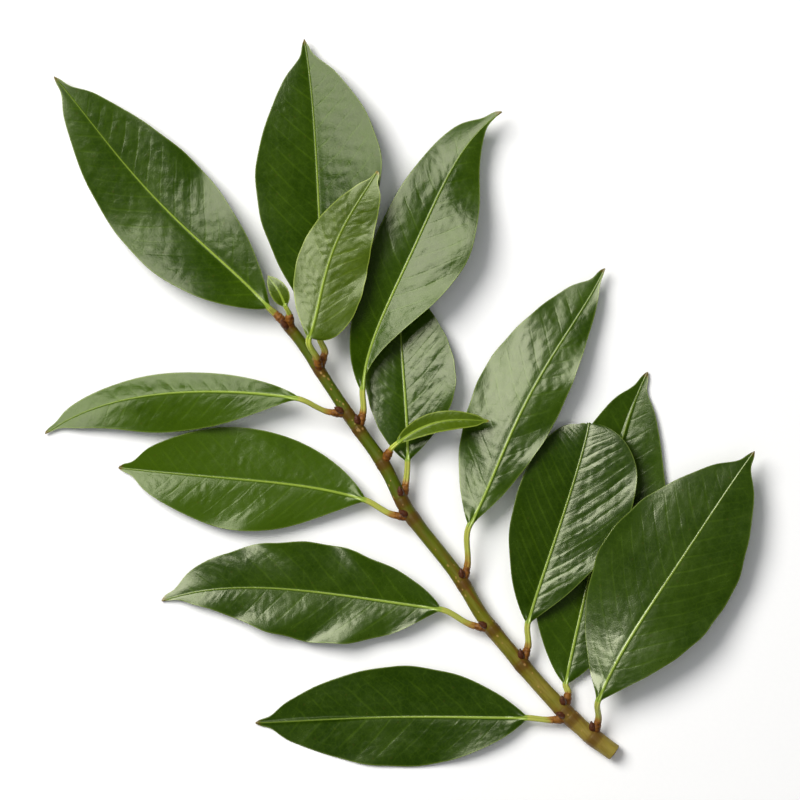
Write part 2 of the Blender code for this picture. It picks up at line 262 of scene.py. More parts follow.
stem = {
    # reach, sideways, height, radius
    "line": ((0.0, 0.55, 2.28, 2.25), (9.0, 3.05, 2.60, 2.15), (20.0, 4.75, 2.90, 2.05),
             (35.0, 5.85, 3.40, 1.95), (50.0, 6.25, 3.90, 1.85), (63.0, 4.85, 4.30, 1.80),
             (84.0, 4.90, 5.00, 1.75), (98.0, 2.50, 5.50, 1.70), (112.0, 1.90, 6.00, 1.60),
             (126.0, 0.85, 6.50, 1.50), (137.0, 0.00, 6.80, 1.45), (144.5, 0.10, 7.00, 1.38)),
    "rings": 620,
    "sides": 64,
    "swelling": 0.10,        # share of the radius at a node
    "swellingReach": 2.5,
    "ovalness": 0.02,        # share by which the section is oval
    "ovalTwist": 11.0,       # length over which the oval turns by half a radian
    "scarDepth": 0.07,       # fine grooves round each node
    # grooves: place beyond the node, half width, share of the depth
    "scars": ((1.1, 0.22, 1.0), (-1.6, 0.25, 0.6)),
    "fibreDepth": 0.035,     # ridges along the bark
    # ridges: how many go round, how far they drift, where they start, share of the depth
    "fibres": ((9, 1.7, 0.0, 1.0), (14, -2.3, 2.0, 0.8), (23, 3.1, 0.0, 0.6)),
    # drift of the ridges along the stem: amount, length for a radian, start
    "drift": ((0.7, 9.0, 0.0), (0.4, 3.7, 1.3)),
    "lenticels": 170,        # small raised specks
    "lenticelHeight": 0.07,
    "lenticelRadius": (0.16, 0.34),
    "lenticelLength": 1.5,   # times its radius
    "lenticelSpan": (3, 142),    # from one reach to the other
    "lenticelRange": 2.0,    # flat beyond this distance along the stem
    "cutBevel": 0.18,
    # cut face: share of the radius, how far it lies in from the end
    "cutFace": ((0.0, 0.18), (0.12, 0.17), (0.2, 0.08), (0.32, 0.04), (0.5, 0.02),
                (0.7, 0.04), (0.86, 0.02), (0.94, 0.06), (0.985, 0.14)),
    "sawMark": 0.03,
    "sawWaves": 7,
    "sharpAngle": 55.0,      # the edge of the cut stays sharp
    "tan": paint(146, 130, 52),
    "olive": paint(104, 106, 8),
    "green": paint(76, 94, 1),
    "brown": paint(108, 68, 12),
    "nodeBrown": paint(80, 46, 8),
    "speck": paint(176, 140, 78),
    "wood": paint(206, 184, 128),
    "woodRing": paint(164, 128, 74),
    "woodRings": 34.0,       # radians of the rings from the pith to the bark
    "rind": paint(84, 50, 20),
    "patchScale": 75.0,
    "streakScale": (60.0, 420.0, 420.0),
    "threadScale": (260.0, 2600.0, 2600.0),
    "grainScale": 3200.0,
    "finish": {"Specular IOR Level": 0.35, "Specular Tint": (1.0, 0.97, 0.80, 1.0)},
    "bumpDepth": 0.00012,
}
stemDense = throughPoints(stem["line"], 900)
stemEnd = stem["line"][-1][0]


def stemAt(reach):
    # Centre and radius of the stem at a reach
    return np.array([np.interp(reach, stemDense[:, 0], stemDense[:, column]) for column in range(4)])


def barkSpecks(reach, turn, barRadius):
    # The highest of many small bells, each longer along the stem than round it
    draw = np.random.default_rng(41)
    places = draw.uniform(*stem["lenticelSpan"], stem["lenticels"])
    angles = draw.uniform(0, 2 * np.pi, stem["lenticels"])
    sizes = draw.uniform(*stem["lenticelRadius"], stem["lenticels"])
    specks = np.zeros((len(reach), stem["sides"]))
    for place, angle, size in zip(places, angles, sizes):
        rows = np.abs(reach[:, 0] - place) < stem["lenticelRange"]
        around = ((turn - angle + np.pi) % (2 * np.pi) - np.pi) * barRadius[rows]
        along = (reach[rows] - place) / stem["lenticelLength"]
        specks[rows] = np.maximum(specks[rows], bell(along, size) * bell(around, size))
    return specks


def cutFace(centre, forward, side, over, turn, radius):
    # Rings of the cut end from the pith outwards, sunk by the profile, with the waves that a saw leaves
    profile = np.array(stem["cutFace"])
    shares, sunk = profile[:, :1], profile[:, 1:]
    saw = stem["sawMark"] * np.sin(stem["sawWaves"] * turn + 1.0) * shares
    faceRadius = (shares * radius)[..., None]
    ring = np.cos(turn)[..., None] * side + np.sin(turn)[..., None] * over
    face = (centre + forward * sunk)[:, None] + saw[..., None] * forward + faceRadius * ring
    return face, shares


def makeStem(nodes):
    # A round bar along the line. Its radius is the line's, times one plus a bell at each node, plus fibres
    # (sines round the bar that drift along it), fine grooves at each node and small raised specks.
    line = throughPoints(stem["line"], stem["rings"])
    centre = line[:, :3]
    forward = unit(np.gradient(centre, axis=0))
    side = unit(np.cross(upwards, forward))
    over = np.cross(forward, side)
    turn = fullTurn(stem["sides"])
    reach = centre[:, :1]
    gap = reach - np.array(nodes)[None, :]
    nearNode = bell(gap, stem["swellingReach"]).max(axis=1)[:, None]
    scars = sum(share * bell(gap - place, width).max(axis=1) for place, width, share in stem["scars"])
    drift = sum(amount * np.sin(reach / length + start) for amount, length, start in stem["drift"])
    fibres = sum(share * np.sin(count * turn + sway * drift + start)
                 for count, sway, start, share in stem["fibres"])
    fibres = fibres / sum(ridge[-1] for ridge in stem["fibres"])
    specks = barkSpecks(reach, turn, line[:, 3:4])
    radius = line[:, 3:4] * (1 + stem["swelling"] * nearNode)
    radius = radius * (1 + stem["ovalness"] * np.sin(2 * turn + reach / stem["ovalTwist"]))
    radius = radius + stem["fibreDepth"] * fibres - stem["scarDepth"] * scars[:, None]
    radius = radius + stem["lenticelHeight"] * specks

    face, shares = cutFace(centre[0], forward[0], side[0], over[0], turn, radius[0])
    bar = (centre[:, None] + radius[..., None] * (np.cos(turn)[..., None] * side[:, None]
                                                  + np.sin(turn)[..., None] * over[:, None]))
    # The rim is pushed in by the bevel, past the next two rings, which are left out
    bar[0] += forward[0] * stem["cutBevel"]
    keep = np.ones(len(bar), bool)
    keep[1:3] = False
    rings = np.vstack((face, bar[keep]))
    onFace = np.zeros((len(face), 1))
    onBar = np.zeros((keep.sum(), 1))
    marks = {
        "cut": np.vstack((onFace + 1, onBar)),
        "fromPith": np.vstack((shares, onBar + 1)),
        "nearNode": np.vstack((onFace, nearNode[keep])),
        "speck": np.vstack((np.zeros(face.shape[:2]), specks[keep])),
        "climb": np.vstack((onFace, reach[keep] / stemEnd)),
    }
    mesh = skinRings("woodyStem", rings, marks)
    mesh.set_sharp_from_angle(angle=math.radians(stem["sharpAngle"]))
    return mesh


def barkMaterial():
    # Bark that goes from tan at the cut to green at the tip, with brown streaks along its length, browner
    # nodes, pale specks and a ringed cut end
    material, tree = startMaterial("freshBark", stem["olive"])
    place = objectPlace(tree)
    nearNode = markOf(tree, "nearNode")
    fromPith = markOf(tree, "fromPith")
    along = addNode(tree, "ShaderNodeMapping", {"Vector": place, "Scale": stem["streakScale"]}).outputs[0]
    fine = addNode(tree, "ShaderNodeMapping", {"Vector": place, "Scale": stem["threadScale"]}).outputs[0]
    patches = noiseOf(tree, place, stem["patchScale"], 3.0, 0.6)
    streaks = noiseOf(tree, along, 1.0, 4.0, 0.6, 0.4)
    threads = noiseOf(tree, fine, 1.0)
    grain = noiseOf(tree, place, stem["grainScale"], 3.0, 0.6)

    climb = plus(tree, markOf(tree, "climb"), times(tree, fromMiddle(tree, patches), 0.7))
    colour = coatOf(tree, stem["tan"], stem["olive"], climb, 0.02, 0.32)
    colour = coatOf(tree, colour, stem["green"], climb, 0.34, 0.62)
    browning = plus(tree, fadeOf(tree, streaks, 0.53, 0.74, 0.0, 0.8), times(tree, nearNode, 0.50))
    colour = blendOf(tree, mathOf(tree, "MINIMUM", browning, 0.9), colour, stem["brown"])
    colour = coatOf(tree, colour, stem["nodeBrown"], nearNode, 0.55, 1.0, 0.0, 0.6)
    colour = coatOf(tree, colour, stem["nodeBrown"], threads, 0.45, 0.75, 0.0, 0.28)
    colour = coatOf(tree, colour, stem["speck"], markOf(tree, "speck"), 0.25, 0.8, 0.0, 0.65)

    rings = mathOf(tree, "SINE", times(tree, fromPith, stem["woodRings"]))
    wood = coatOf(tree, stem["wood"], stem["woodRing"], plus(tree, rings, grain), 0.4, 1.6, 0.0, 0.6)
    wood = coatOf(tree, wood, stem["woodRing"], fromPith, 0.14, 0.24, 0.8, 0.0)
    wood = coatOf(tree, wood, stem["rind"], fromPith, 0.80, 0.90)
    colour = blendOf(tree, markOf(tree, "cut"), colour, wood)

    roughness = fadeOf(tree, streaks, 0.3, 0.8, 0.42, 0.62)
    height = plus(tree, times(tree, threads, 0.6), times(tree, grain, 0.4))
    finishMaterial(tree, stem["finish"], colour, roughness, height, stem["bumpDepth"])
    return material


# The leaves. One entry for each, millimetres and degrees:
#   node     reach along the stem where its stalk leaves
#   aim      plan heading and elevation in which the stalk leaves
#   base     plan position where the blade begins
#   tip      plan position of the tip
#   bow      how far the midrib runs to the left of the straight line at each quarter
#   height   height of the midrib at the base, the quarters and the tip
#   left     half width, share of the length where it is widest, fullness
#   right    the same on the other side
#   lift     climb from midrib to margin for the left and the right half: base, middle, tip
#   curl     how far the left and the right margin turn up
#   wave     height of the ripples of the margin and their number
#   quilt    how far the left and the right half rise between their veins
#   veins    pairs of side veins
#   crinkle  height of the uneven wrinkles that follow the side veins
#   uneven   height of the slow ups and downs of the blade
#   tone     0 for the darkest green, 1 for the lightest
#   gloss    strength of its sheen
leafShapes = (
    dict(name="leaf_01", node=6.5, aim=(-50, 20), base=(14.1, -4.6), tip=(41.1, -77.7),
         bow=(1.7, 1.4, 0.9), height=(8.2, 9.4, 9.1, 8.5, 7.2),
         left=(19.7, 0.49, 1.0), right=(16.7, 0.48, 0.9), lift=((-23, -2, -8), (12, -2, -1)),
         curl=(-0.1, -0.5), wave=(0.5, 2.5), quilt=(0.03, 0.03), veins=15, crinkle=0.03, uneven=0.12,
         tone=0.3, gloss=0.76),
    dict(name="leaf_02", node=16.8, aim=(-48, -4), base=(22.6, -0.4), tip=(74.9, -68.3),
         bow=(0.9, 1.6, 2.0), height=(2.6, 1.2, 0.40, 0.35, 0.90),
         left=(15.6, 0.44, 0.85), right=(16.8, 0.46, 0.85), lift=((10, 9, 11), (8, 8, 10)),
         curl=(0.0, -0.2), wave=(0.3, 2.0), quilt=(0.02, 0.03), veins=14, crinkle=0.04, uneven=0.20,
         tone=0.35, gloss=0.54),
    dict(name="leaf_03", node=14.2, aim=(56, 4), base=(21.8, 13.5), tip=(64.5, 71.5),
         bow=(-0.5, -0.8, -0.5), height=(3.6, 2.4, 1.1, 0.45, 0.60),
         left=(13.2, 0.46, 0.85), right=(13.7, 0.46, 0.85), lift=((6, -2, 0), (6, 4, 2)),
         curl=(0.0, 0.3), wave=(0.5, 2.0), quilt=(0.03, 0.03), veins=12, crinkle=0.04, uneven=0.12,
         tone=0.02, gloss=0.46),
    dict(name="leaf_04", node=33.6, aim=(-55, 8), base=(41.7, -2.4), tip=(73.65, -47.4),
         bow=(-0.2, -0.6, -0.6), pace=(0.285, 0.57, 0.845), height=(5.2, 5.0, 4.6, 4.3, 3.8),
         left=(13.6, 0.52, 0.66), right=(16.8, 0.59, 0.62), lift=((19, 14, -10), (11, 10, 11)),
         curl=(-0.1, -0.7), wave=(0.3, 3.0), quilt=(0.02, 0.06), veins=16, crinkle=0.06, uneven=0.16,
         tone=0.05, gloss=0.62, drawnOut=0.0, tipTone=0.0),
    dict(name="leaf_05", node=45.8, aim=(40, 2), base=(58.8, 14.1), tip=(105.5, 71.5),
         bow=(-2.1, -3.9, -4.0), height=(5.0, 3.7, 2.8, 2.6, 0.91),
         left=(13.4, 0.43, 1.10), right=(13.0, 0.47, 0.72), lift=((8, 10, 14), (19, 8, -4)),
         curl=(-0.6, -1.2), wave=(0.9, 3.5), quilt=(0.04, 0.04), veins=13, crinkle=0.05, uneven=0.12,
         tone=0.25, gloss=0.53, frill=2.4),
    dict(name="leaf_06", node=60.2, aim=(-50, 8), base=(71.7, -6.0), tip=(103.7, -76.0),
         bow=(1.1, 2.0, 0.9), height=(7.3, 7.4, 7.1, 5.6, 3.8),
         left=(13.9, 0.47, 0.75), right=(9.2, 0.46, 1.10), lift=((-21, -13, -2), (7, 4, 10)),
         curl=(-0.6, 0.1), wave=(0.6, 3.0), quilt=(0.05, 0.04), veins=14, crinkle=0.05, uneven=0.09,
         tone=0.4, gloss=0.46),
    dict(name="leaf_07", node=82.3, aim=(43, 2), base=(94.0, 12.2), tip=(140.6, 59.0),
         bow=(-1.5, -1.2, -0.5), height=(5.3, 4.4, 3.7, 2.6, 0.52),
         left=(13.6, 0.49, 0.90), right=(13.8, 0.50, 0.75), lift=((-2, 6, 15), (-4, -2, 13)),
         curl=(-0.7, 0.1), wave=(0.5, 2.5), quilt=(0.03, 0.03), veins=14, crinkle=0.02, uneven=0.08,
         tone=1.0, gloss=0.33),
    dict(name="leaf_08", node=87.4, aim=(-48, -6), base=(95.3, -3.3), tip=(138.8, -33.6),
         bow=(-0.2, 0.1, 0.2), height=(5.1, 4.4, 3.0, 1.4, 0.72),
         left=(10.4, 0.44, 0.75), right=(13.9, 0.43, 1.10), lift=((8, 5, 12), (5, 10, 11)),
         curl=(-1.4, 0.4), wave=(0.3, 2.5), quilt=(0.05, 0.05), veins=14, crinkle=0.04, uneven=0.14,
         tone=0.25, gloss=0.40),
    dict(name="leaf_09", node=98.6, aim=(-66, 30), base=(100.6, -4.2), tip=(90.5, -26.7),
         bow=(2.2, 2.8, 1.8), height=(8.5, 9.5, 10.1, 10.5, 10.4),
         left=(2.8, 0.42, 0.60), right=(2.7, 0.50, 0.60), lift=((27, 13, 13), (29, 32, 24)),
         curl=(-0.6, -0.1), wave=(0.0, 1.0), quilt=(0.01, 0.01), veins=9, crinkle=0.00, uneven=0.10,
         tone=0.45, gloss=0.22, young=True, bud=False),
    dict(name="leaf_10", node=109.7, aim=(-52, 10), base=(117.6, -5.4), tip=(153.3, -79.5),
         bow=(4.0, 4.7, 5.1), height=(7.8, 7.6, 7.6, 7.1, 7.3),
         left=(10.7, 0.50, 0.68), right=(14.2, 0.52, 1.50), lift=((28, -2, -26), (28, 14, -10)),
         curl=(-0.2, -0.1), wave=(0.4, 3.0), quilt=(0.04, 0.05), veins=15, crinkle=0.04, uneven=0.12,
         tone=0.3, gloss=0.35),
    dict(name="leaf_11", node=114.6, aim=(46, 4), base=(126.3, 10.0), tip=(159.7, 68.9),
         bow=(-4.1, -6.1, -5.4), height=(9.4, 7.3, 5.5, 3.2, 1.2),
         left=(10.4, 0.47, 1.05), right=(5.3, 0.48, 0.60), lift=((10, -2, 20), (-8, -26, -22)),
         curl=(-0.6, 0.5), wave=(0.3, 2.0), quilt=(0.03, 0.02), veins=14, crinkle=0.02, uneven=0.08,
         tone=0.8, gloss=0.24),
    dict(name="leaf_12", node=128.2, aim=(-24, 40), base=(136.9, -2.5), tip=(160.8, -43.6),
         bow=(1.6, 2.9, 2.0), height=(13.4, 12.9, 12.9, 13.8, 14.0),
         left=(8.3, 0.41, 0.95), right=(10.8, 0.34, 0.60), lift=((-12, -12, -6), (1, 3, 8)),
         curl=(-0.2, 0.3), wave=(0.3, 3.0), quilt=(0.03, 0.03), veins=12, crinkle=0.03, uneven=0.12,
         tone=0.35, gloss=0.40, young=True, bud=False),
    dict(name="leaf_13", node=128.6, aim=(-56, -4), base=(135.6, -4.8), tip=(200.8, -49.8),
         bow=(-1.4, -1.6, -1.4), height=(6.7, 6.4, 5.8, 4.9, 2.9),
         left=(16.4, 0.51, 0.95), right=(17.2, 0.57, 1.12), lift=((17, 8, 7), (19, 19, 11)),
         curl=(-1.1, -0.3), wave=(0.3, 2.0), quilt=(0.01, 0.02), veins=14, crinkle=0.015, uneven=0.08,
         tone=0.18, gloss=0.24, bud=False),
    dict(name="leaf_14", node=143.2, aim=(9, 0), base=(150.0, 1.2), tip=(233.4, 9.0),
         bow=(1.1, 2.3, 1.5), height=(8.2, 6.8, 4.9, 4.6, 4.1),
         left=(14.5, 0.41, 0.90), right=(14.2, 0.48, 0.90), lift=((22, 6, 6), (12, 2, 1)),
         curl=(-0.9, -0.4), wave=(0.4, 3.0), quilt=(0.04, 0.06), veins=16, crinkle=0.04, uneven=0.09,
         tone=0.3, gloss=0.31, bud=False),
    dict(name="leaf_15", node=142.0, aim=(-34, 34), base=(147.4, -2.6), tip=(156.6, -3.9),
         bow=(-0.3, -0.4, -0.2), height=(11.4, 12.0, 12.0, 11.6, 11.0),
         left=(2.4, 0.42, 0.70), right=(2.4, 0.40, 0.70), lift=((28, 8, 0), (31, 19, 9)),
         curl=(0.0, -0.2), wave=(0.0, 1.0), quilt=(0.01, 0.01), veins=6, crinkle=0.00, uneven=0.05,
         tone=0.1, gloss=0.36, young=True, bud=False),
)

# What most leaves share; an entry above may set its own
usualLeaf = {
    "pace": (0.25, 0.5, 0.75),   # share of the way to the tip covered at each quarter, where it arches over
    "frill": 1.0,                # how uneven its margin is
    "drawnOut": 0.42,            # share by which the blade narrows just before its tip
    "tipTone": 0.85,             # how dry and brown the tip is
    "young": False,
    "bud": True,                 # whether a bud sits above its stalk
}
leaves = [{**usualLeaf, **shape} for shape in leafShapes]

leafForm = {
    "stalkRings": 26,
    "bladeRings": 196,
    "ringCrowding": 0.09,    # how much the rings gather at the base and the tip
    "columns": 99,
    "columnCrowding": 0.10,  # how much the columns gather at the midrib and the margins
    "stalkRadius": 0.80,
    "stalkGap": 2.9,         # from the surface of the stem to the root of the stalk
    "stalkFlare": 0.22,      # share by which the stalk thickens at its root
    "flareReach": 1.6,
    "channel": 0.28,         # share by which the stalk is hollowed along its top
    "channelHalfWidth": 0.3,
    "slimStalk": 0.65,       # share of its radius that the slimmest stalk keeps
    "sturdyFrom": 8.0,       # half width from which stalk, rib and veins have their full size
    "baseShare": 0.08,       # share of the blade over which it grows out of the stalk
    "uprightFolds": 3.0,     # how strictly the halves of the blade fold straight up
    "thickness": 0.42,
    "rim": 0.40,             # width over which the margin rounds off
    "tipHalfWidth": 0.14,
    "drawnOutAt": 0.955,     # share of the length where the blade is drawn out
    "drawnOutReach": 0.04,
    "crease": 0.45,          # radius of the fold along the midrib
    "ribHalfWidth": 0.33,
    "ribNarrowing": 0.72,    # share of the width that it has lost at the tip
    "ribRise": 0.16,
    "ribSinking": 0.6,       # share of the rise that it has lost at the tip
    "grooveDepth": 0.15,
    "grooveHalfWidth": 1.15,
    "grooveFading": 0.5,
    "keelDepth": 0.72,       # midrib beneath
    "keelHalfWidth": 0.62,
    "keelFading": 0.7,
    "veinAngle": 50.0,       # between the midrib and a side vein
    "veinBend": 0.016,       # how much the vein turns forward, per millimetre
    "veinStagger": 0.43,     # how far the right half's side veins lie from the left half's, in spacings
    "veinStray": 0.05,       # how far a side vein strays from its line, in spacings
    "strayLengths": (9.0, 14.0),
    "slowSway": 0.10,        # sines that keep the spacings uneven: how far, in spacings
    "slowRun": 9.0,          # and how many radians of them over the length
    "quickSway": 0.06,
    "quickRun": 23.0,
    "veinRidge": 0.10,       # side veins beneath
    "veinHalfWidth": 0.418,
    "rippleStart": (0.4, 2.2),       # of the left and the right margin, in radians
    "plainMiddle": 0.22,     # share of the half width beside the midrib without small forms
    "plainMargin": 0.28,     # the same at the margin
    "plainTip": 0.24,        # share of the length without them
    "quiltLengths": (5.0, 7.0, 12.0),
    "quiltSway": 0.8,        # how strongly the swellings between the side veins come and go
    "pillow": 0.010,         # small swellings between the finest veins
    "pillowLength": 3.1,
    "pillowCount": 1.5,      # of them from one side vein to the next
    "pillowSwing": 0.6,      # how far their rows swing
    "streakLengths": (1.0, 1.4, 2.1, 2.9),
    "streakCount": 2.2,      # how many to a spacing of the side veins, for a wave length of 1
    "streakStretch": 9.0,    # how long they are, for a wave length of 1
    "driftReach": 1.6,       # how far the hollows are shifted along the blade
    "driftLengths": (6.0, 8.5, 12.0),
    "dimple": 0.065,         # uneven little hollows that break the sheen
    "dimpleLengths": (1.9, 2.3, 2.7, 3.2, 3.9, 4.8),
    "unevenLengths": (11.0, 17.0, 23.0, 31.0),
    "unevenBeyond": 4.0,     # distance from the midrib
    "unevenFrom": 12.0,      # half width from which a leaf is fully uneven
    "edgeWave": 0.018,       # share by which the width comes and goes
    "edgeWaveLengths": (9.0, 14.0, 22.0),
    "edgeRun": 80.0,         # the margin's length, as its waves count it
    "edgeApart": 30.0,       # keeps the waves of the two margins unlike
    "tableEase": 0.12,       # height over which a blade that presses on the table settles on it
    "tableReach": 0.3,
    "planScale": 0.01,       # length of the piece's own map for a millimetre
}


def bySide(s, left, right):
    # One value for the left half of the blade, another for the right
    return np.where(s > 0, left, right)


def bladeLine(leaf, share):
    # Straight from base to tip by the pace, moved left by the bow and raised by the height
    base, tip = np.array(leaf["base"]), np.array(leaf["tip"])
    forward = unit(tip - base)
    leftward = np.array((-forward[1], forward[0]))
    bow = throughQuarters((0.0, *leaf["bow"], 0.0), share)
    pace = throughQuarters((0.0, *leaf["pace"], 1.0), share)
    plan = base + np.outer(pace, tip - base) + np.outer(bow, leftward)
    return np.column_stack((plan, throughQuarters(leaf["height"], share))), leftward


def stalkLine(leaf, form, share):
    # The cubic that leaves the cushion along the aim and arrives at the blade along the midrib
    axis = stemAt(leaf["node"])
    aim = direction(*leaf["aim"])
    root = axis[:3] + aim * (axis[3] + form["stalkGap"])
    base, onward = bladeLine(leaf, np.array((0.0, 0.02)))[0]
    reach = np.linalg.norm(base - root)
    into = unit(onward - base) * reach
    s = share[:, None]
    return ((2 * s ** 3 - 3 * s ** 2 + 1) * root + (s ** 3 - 2 * s ** 2 + s) * aim * reach
            + (3 * s ** 2 - 2 * s ** 3) * base + (s ** 3 - s ** 2) * into)


def leafSpine(leaf, form):
    # The middle line of stalk and blade, the share t of the blade (0 on the stalk), the share of the stalk
    # (0 on the blade), the length run from the root, and the arrows to the left and up at each ring. Over
    # the blade the second arrow leans to the vertical, so that a tip that dives stays smooth.
    stalk = np.linspace(0, 1, form["stalkRings"], endpoint=False)
    even = np.linspace(0, 1, form["bladeRings"])
    blade = even - form["ringCrowding"] * np.sin(2 * np.pi * even)
    line, leftward = bladeLine(leaf, blade)
    line = np.vstack((stalkLine(leaf, form, stalk), line))
    t = np.concatenate((np.zeros(len(stalk)), blade))[:, None]
    stalkShare = np.concatenate((1 - stalk, np.zeros(len(blade))))[:, None]
    reach = np.concatenate(((0.0,), np.cumsum(np.linalg.norm(np.diff(line, axis=0), axis=1))))[:, None]
    forward = np.gradient(line, reach[:, 0], axis=0)
    forward[0] = direction(*leaf["aim"])
    forward = unit(forward)
    left = np.append(leftward, 0.0) - forward * (forward[:, :2] @ leftward)[:, None]
    left = unit(left)[:, None]
    up = np.cross(forward, left[:, 0])
    up = unit(up + form["uprightFolds"] * smoothStep(t / form["baseShare"]) * upwards)[:, None]
    return line, t, stalkShare, reach, left, up


def halfWidth(shape, share):
    # Width times a sine that peaks at the widest place, raised to the fullness
    width, widest, fullness = shape
    swell = np.sin(np.pi * share ** (math.log(0.5) / math.log(widest)))
    return width * np.clip(swell, 0.0, 1.0) ** fullness


def marginWidth(leaf, form, t, s, seed):
    # The half width of each side: uneven along the margin, narrower before the tip, and never quite nothing
    width = bySide(s, halfWidth(leaf["left"], t), halfWidth(leaf["right"], t))
    side = bySide(s, form["edgeApart"], -form["edgeApart"])
    waves = softWaves(t * form["edgeRun"], side, form["edgeWaveLengths"], seed + 30)
    width = width * (1 + leaf["frill"] * form["edgeWave"] * waves)
    width = width * (1 - leaf["drawnOut"] * bell(t - form["drawnOutAt"], form["drawnOutReach"]))
    return np.sqrt(width ** 2 + (form["tipHalfWidth"] * np.minimum(t * 6, 1)) ** 2)


def veinAdvance(form, out):
    # How far forward a side vein has run once it is this far out: a slant and a bend
    return out / math.tan(math.radians(form["veinAngle"])) + form["veinBend"] * out ** 2


def veinSpacing(leaf, form, length):
    # Distance between two side veins, square to them
    return length / leaf["veins"] * math.sin(math.radians(form["veinAngle"]))


def veinPhase(leaf, form, s, along, across, length, seed):
    # A number that is whole on each side vein: the place where the vein leaves the midrib, counted in
    # spacings, with slow sines that keep the spacings uneven
    start = (along - veinAdvance(form, np.abs(across))) / length
    phase = leaf["veins"] * start + bySide(s, 0.0, form["veinStagger"])
    phase = phase + form["slowSway"] * np.sin(form["slowRun"] * start + seed)
    phase = phase + form["quickSway"] * np.sin(form["quickRun"] * start + bySide(s, 2.0, -2.0) * seed)
    return phase + form["veinStray"] * softWaves(along, across, form["strayLengths"], seed + 50)


def liftAlong(lift, share):
    # From the base's angle to the middle's, then to the tip's, easing in and out of each
    early = lift[0] + (lift[1] - lift[0]) * smoothStep(share * 2)
    late = lift[1] + (lift[2] - lift[1]) * smoothStep(share * 2 - 1)
    return np.where(share < 0.5, early, late)


def foldRise(leaf, form, t, s, width, full, length):
    # The large forms: each half climbs from the rounded fold at the midrib by its lift. The margin turns up
    # by the curl and ripples along the side veins, both growing with the square of the way out.
    out = np.abs(s) * width
    lift = bySide(s, liftAlong(leaf["lift"][0], t), liftAlong(leaf["lift"][1], t))
    crest = t + (veinAdvance(form, width) - veinAdvance(form, out)) / length
    height, count = leaf["wave"]
    ripple = height * np.sin(2 * np.pi * count * crest + bySide(s, *form["rippleStart"])) * np.sin(np.pi * t)
    rise = (np.sqrt(out ** 2 + form["crease"] ** 2) - form["crease"]) * np.tan(np.radians(lift))
    return rise + s ** 2 * (bySide(s, *leaf["curl"]) * width / full + ripple)


def fineRise(leaf, form, s, along, across, phase, seed):
    # The small forms: swellings between the side veins that come and go, cells between the finest veins,
    # wrinkles that follow the side veins, and hollows spread by waves whose place drifts along the blade
    out = np.abs(across)
    coming = softWaves(along, across, form["quiltLengths"], seed + 90)
    fading = np.clip(0.5 + form["quiltSway"] * coming, 0.0, 1.2)
    quilted = bySide(s, *leaf["quilt"]) * fading * (np.sin(np.pi * phase) ** 2 - 0.5)
    rows = np.sin(2 * np.pi * (out + form["pillowSwing"] * np.sin(phase * 4)) / form["pillowLength"])
    cells = np.sin(2 * np.pi * phase * form["pillowCount"]) * rows
    beside = phase * form["streakCount"]
    streaks = softWaves(beside, out / form["streakStretch"], form["streakLengths"], seed + 130)
    drifted = along + form["driftReach"] * softWaves(along, across, form["driftLengths"], seed + 210)
    dimples = softWaves(drifted, across + streaks, form["dimpleLengths"], seed + 170)
    return quilted + form["pillow"] * cells + leaf["crinkle"] * streaks + form["dimple"] * dimples


def onTable(form, height):
    # Where the blade presses on the table it lies flat: a height below the table ends on it, and the ones
    # just above are raised by less and less
    ease = form["tableEase"]
    settled = height + np.sqrt(height ** 2 + ease ** 2) - ease * bell(height, form["tableReach"])
    return np.maximum(0.5 * settled, height)


